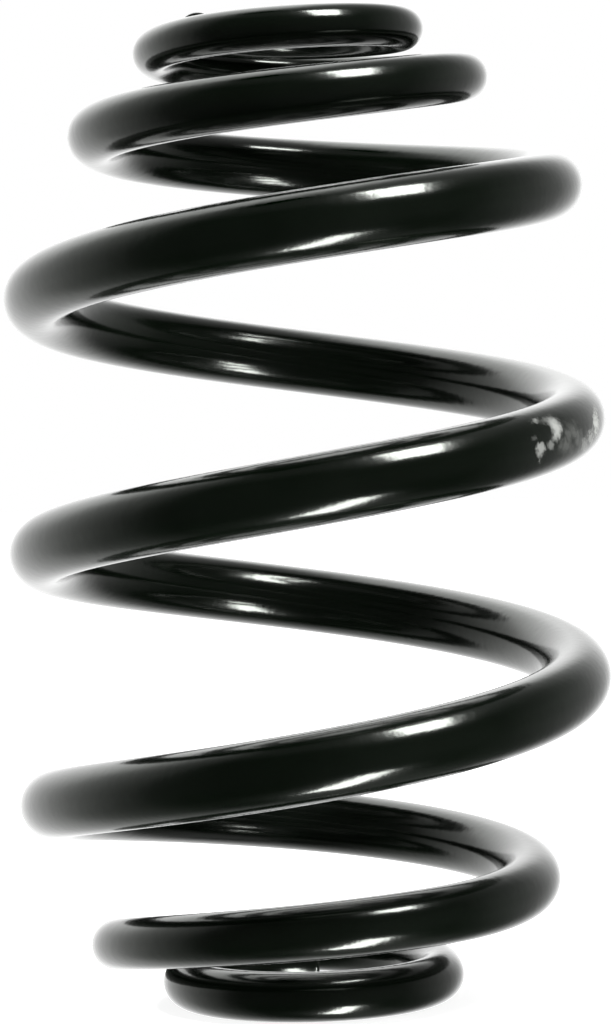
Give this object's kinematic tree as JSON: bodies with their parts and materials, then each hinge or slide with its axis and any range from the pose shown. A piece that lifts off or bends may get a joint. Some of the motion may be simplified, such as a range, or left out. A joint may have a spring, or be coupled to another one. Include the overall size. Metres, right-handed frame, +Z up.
{
  "type": "suspension coil spring",
  "caption": "Barrel-shaped compression spring of tapered round wire with small pigtail end coils, carrying load between two spring seats of a suspension.",
  "frame": {"origin": "on the coil axis, in the plane that the bottom end coil stands on", "axes": "+Z up along the coil axis to the top end coil, +Y towards the bottom wire tip, +X to the right as seen from -Y"},
  "size_m": [0.12, 0.12, 0.2],
  "materials": {
    "coat": "gloss black coating over steel wire"
  },
  "bodies": {
    "root": {"spring": "coat"}
  },
  "joints": []
}
